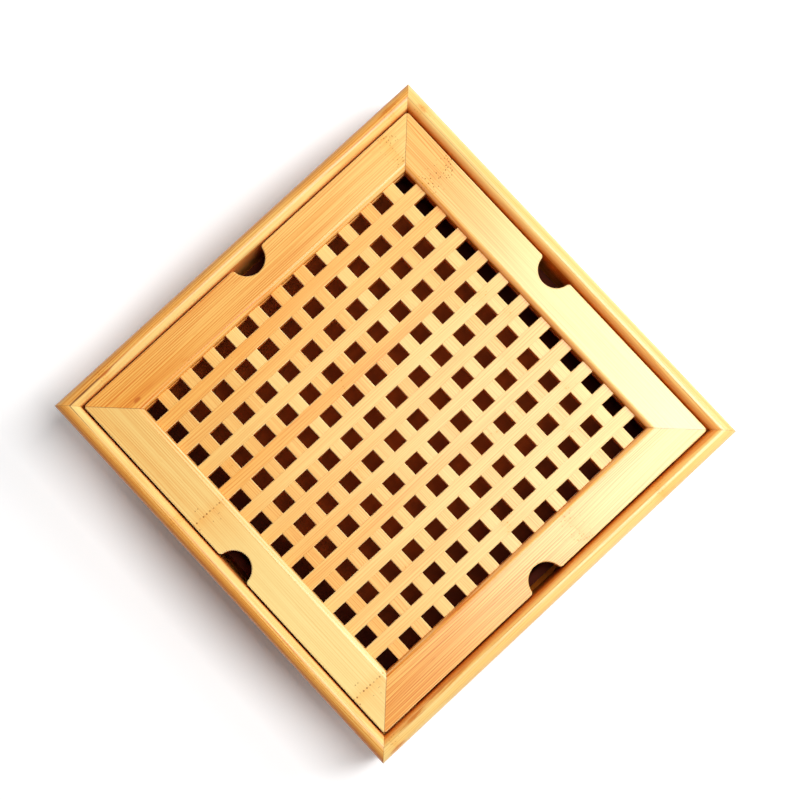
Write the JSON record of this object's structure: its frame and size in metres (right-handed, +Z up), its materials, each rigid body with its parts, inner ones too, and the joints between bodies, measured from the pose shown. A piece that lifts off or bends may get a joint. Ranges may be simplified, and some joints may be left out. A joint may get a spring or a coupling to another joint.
{
  "type": "gongfu tea tray",
  "caption": "Square bamboo tea tray: a mitred box with a lift-out half-lapped grid panel that drains into a loose drip tray.",
  "frame": {"origin": "on the ground, under the middle of the tray", "axes": "+Z up; +Y along the long slats, towards the back side; +X to the right, along the cross slats"},
  "size_m": [0.28, 0.28, 0.06],
  "materials": {
    "bamboo_walls": "satin lacquered bamboo",
    "bamboo_rails": "satin lacquered bamboo",
    "bamboo_long_slats": "satin lacquered bamboo",
    "bamboo_cross_slats": "satin lacquered bamboo",
    "bamboo_base": "thinly sealed bamboo",
    "drip_tray_plastic": "matt dark brown moulded plastic",
    "foot_rubber": "matt black rubber"
  },
  "bodies": {
    "box": {"wall_front": "bamboo_walls", "wall_right": "bamboo_walls", "wall_back": "bamboo_walls", "wall_left": "bamboo_walls", "floor_panel": "bamboo_base", "corner_block_front_right": "bamboo_base", "corner_block_back_right": "bamboo_base", "corner_block_back_left": "bamboo_base", "corner_block_front_left": "bamboo_base", "foot_front_right": "foot_rubber", "foot_back_right": "foot_rubber", "foot_back_left": "foot_rubber", "foot_front_left": "foot_rubber"},
    "panel": {"rail_front": "bamboo_rails", "rail_right": "bamboo_rails", "rail_back": "bamboo_rails", "rail_left": "bamboo_rails", "mitre_splines": "bamboo_base", "long_slat_01": "bamboo_long_slats", "long_slat_02": "bamboo_long_slats", "long_slat_03": "bamboo_long_slats", "long_slat_04": "bamboo_long_slats", "long_slat_05": "bamboo_long_slats", "long_slat_06": "bamboo_long_slats", "long_slat_07": "bamboo_long_slats", "long_slat_08": "bamboo_long_slats", "long_slat_09": "bamboo_long_slats", "long_slat_10": "bamboo_long_slats", "long_slat_11": "bamboo_long_slats", "cross_slat_01": "bamboo_cross_slats", "cross_slat_02": "bamboo_cross_slats", "cross_slat_03": "bamboo_cross_slats", "cross_slat_04": "bamboo_cross_slats", "cross_slat_05": "bamboo_cross_slats", "cross_slat_06": "bamboo_cross_slats", "cross_slat_07": "bamboo_cross_slats", "cross_slat_08": "bamboo_cross_slats", "cross_slat_09": "bamboo_cross_slats", "cross_slat_10": "bamboo_cross_slats", "cross_slat_11": "bamboo_cross_slats"},
    "drip_tray": {"drip_tray": "drip_tray_plastic"}
  },
  "joints": [
    {"name": "panel_lift", "type": "slide", "parent": "box", "child": "panel", "axis": [0, 0, 1], "range_m": [0, 0.12]},
    {"name": "drip_tray_lift", "type": "slide", "parent": "box", "child": "drip_tray", "axis": [0, 0, 1], "range_m": [0, 0.06]}
  ],
  "couplings": [
    {"joint": "drip_tray_lift", "follows": "panel_lift", "ratio": 0.5}
  ]
}
